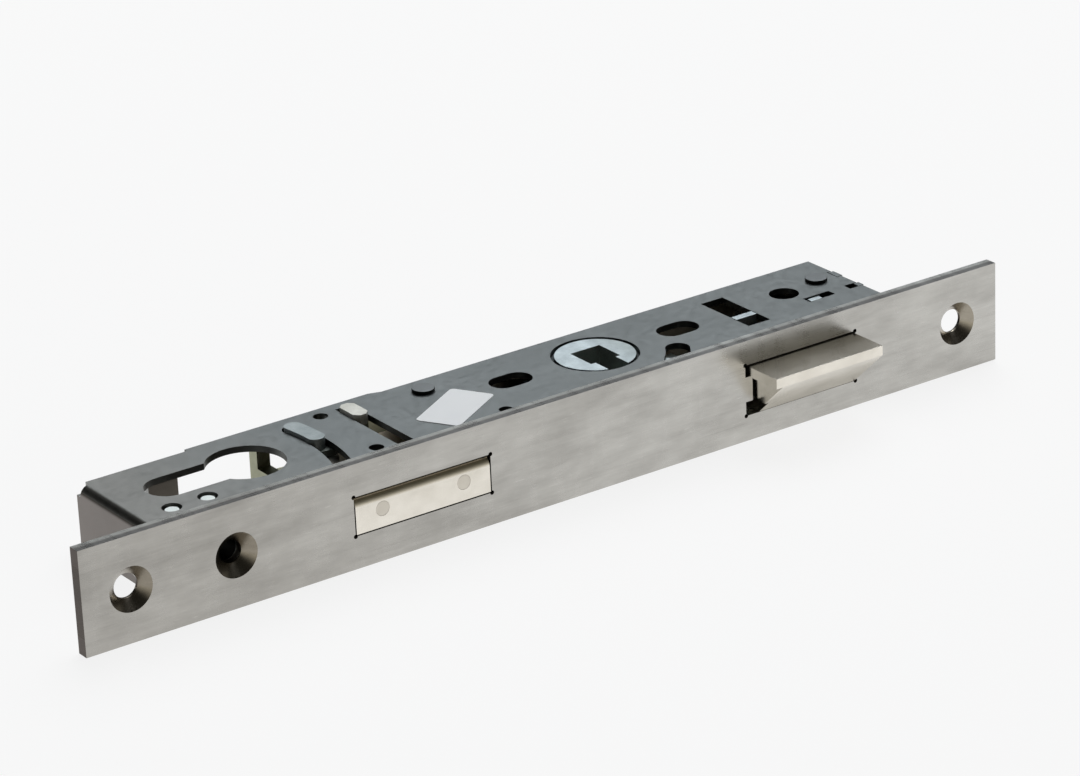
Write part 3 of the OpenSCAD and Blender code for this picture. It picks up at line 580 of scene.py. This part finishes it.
def make_floor_paint():
    """White for the camera and in reflections, apart from the lock's shadow, and clear from below."""
    made = bpy.data.materials.new("pale floor")
    made.use_nodes = True
    tree = made.node_tree
    tree.nodes.clear()
    end = tree.nodes.new("ShaderNodeOutputMaterial")
    paint = tree.nodes.new("ShaderNodeBsdfDiffuse")
    paint.inputs["Color"].default_value = FLOOR_COLOUR
    glow = tree.nodes.new("ShaderNodeEmission")
    glow.inputs["Color"].default_value = FLOOR_WHITE
    clear = tree.nodes.new("ShaderNodeBsdfTransparent")
    path = tree.nodes.new("ShaderNodeLightPath")
    side = tree.nodes.new("ShaderNodeNewGeometry")
    lit = tree.nodes.new("ShaderNodeMixShader")
    seen = calc(tree, "MAXIMUM", path.outputs["Is Camera Ray"], path.outputs["Is Glossy Ray"])
    tree.links.new(calc(tree, "MULTIPLY", seen, WHITE_SHARE), lit.inputs[0])
    tree.links.new(paint.outputs[0], lit.inputs[1])
    tree.links.new(glow.outputs[0], lit.inputs[2])
    shown = tree.nodes.new("ShaderNodeMixShader")
    tree.links.new(side.outputs["Backfacing"], shown.inputs[0])
    tree.links.new(lit.outputs[0], shown.inputs[1])
    tree.links.new(clear.outputs[0], shown.inputs[2])
    tree.links.new(shown.outputs[0], end.inputs["Surface"])
    return made


# Light

# Direction of the key box, from the lock, with its distance and width in metres
KEY_SIDE = Vector((0.35, 0.3, 0.887)).normalized()
KEY_DISTANCE = 2.2
KEY_AIM = Vector((-0.02, 0.02, 0))
KEY_WIDTH = 1.7
KEY_WATTS = 30
KEY_COLOUR = (0.96, 0.98, 1.0)

# Glow round the key box, by the cosine of the angle from it
GLOW_EDGE = (0.72, 0.97)
GLOW_COLOUR = (0.75, 0.77, 0.80)

# Low bright sweep in front, by the direction's Y and Z
SWEEP_Y = (0.2, -0.3)
SWEEP_Z = (0.52, 0.0)
SWEEP_CURVE = 1.3
SWEEP_COLOUR = (0.85, 0.83, 0.76)
ROOM_COLOUR = (0.025, 0.025, 0.022)
BACKGROUND = (1.0, 1.0, 1.0, 1)


def make_world():
    """Pale for the camera; for reflections a dark room with a glow round the key box and a sweep in front."""
    world = bpy.data.worlds.new("studio")
    bpy.context.scene.world = world
    world.use_nodes = True
    tree = world.node_tree
    tree.nodes.clear()
    end = tree.nodes.new("ShaderNodeOutputWorld")
    place = tree.nodes.new("ShaderNodeTexCoord")
    near = tree.nodes.new("ShaderNodeVectorMath")
    near.operation = "DOT_PRODUCT"
    tree.links.new(place.outputs["Generated"], near.inputs[0])
    near.inputs[1].default_value = KEY_SIDE
    glow = spread(tree, near.outputs["Value"], *GLOW_EDGE)
    way = split(tree, "Generated")
    low = calc(tree, "POWER", spread(tree, way["Z"], *SWEEP_Z), SWEEP_CURVE)
    sweep = product(tree, spread(tree, way["Y"], *SWEEP_Y), low)
    room_colour = tint(tree, sweep, ROOM_COLOUR, SWEEP_COLOUR)
    room = tree.nodes.new("ShaderNodeBackground")
    tree.links.new(tint(tree, glow, room_colour, GLOW_COLOUR), room.inputs["Color"])
    pale = tree.nodes.new("ShaderNodeBackground")
    pale.inputs["Color"].default_value = BACKGROUND
    path = tree.nodes.new("ShaderNodeLightPath")
    mixed = tree.nodes.new("ShaderNodeMixShader")
    tree.links.new(path.outputs["Is Camera Ray"], mixed.inputs[0])
    tree.links.new(room.outputs[0], mixed.inputs[1])
    tree.links.new(pale.outputs[0], mixed.inputs[2])
    tree.links.new(mixed.outputs[0], end.inputs["Surface"])


def make_key():
    """One big soft box high on the right behind the lock."""
    data = bpy.data.lights.new("key box", "AREA")
    data.shape = "RECTANGLE"
    data.size = data.size_y = KEY_WIDTH
    data.energy = KEY_WATTS
    data.color = KEY_COLOUR
    key = bpy.data.objects.new("key box", data)
    key.location = KEY_SIDE * KEY_DISTANCE
    key.rotation_mode = "QUATERNION"
    key.rotation_quaternion = (KEY_AIM - KEY_SIDE * KEY_DISTANCE).to_track_quat("-Z", "Y")
    bpy.context.scene.collection.objects.link(key)


# Camera

CAMERA_PLACE = Vector((-524.4, -719.8, 380.3)) * MM
CAMERA_AZIMUTH = math.radians(34.353)
CAMERA_DIP = math.radians(22.67)
CAMERA_ROLL = math.radians(2.552)
CAMERA_LENS = 146.68
CAMERA_SENSOR = 36


def make_camera():
    """The photograph's view: a long lens from the left front, a little rolled."""
    level = math.cos(CAMERA_DIP)
    ahead = Vector((math.sin(CAMERA_AZIMUTH) * level, math.cos(CAMERA_AZIMUTH) * level, -math.sin(CAMERA_DIP)))
    data = bpy.data.cameras.new("camera")
    data.lens = CAMERA_LENS
    data.sensor_width = CAMERA_SENSOR
    data.sensor_fit = "HORIZONTAL"
    camera = bpy.data.objects.new("camera", data)
    camera.location = CAMERA_PLACE
    camera.rotation_mode = "QUATERNION"
    camera.rotation_quaternion = Quaternion(ahead, CAMERA_ROLL) @ ahead.to_track_quat("-Z", "Y")
    bpy.context.scene.collection.objects.link(camera)
    bpy.context.scene.camera = camera


make_camera()
dress_nodes(make_materials())
make_floor()
make_world()
make_key()
bpy.context.scene.view_settings.view_transform = "Standard"
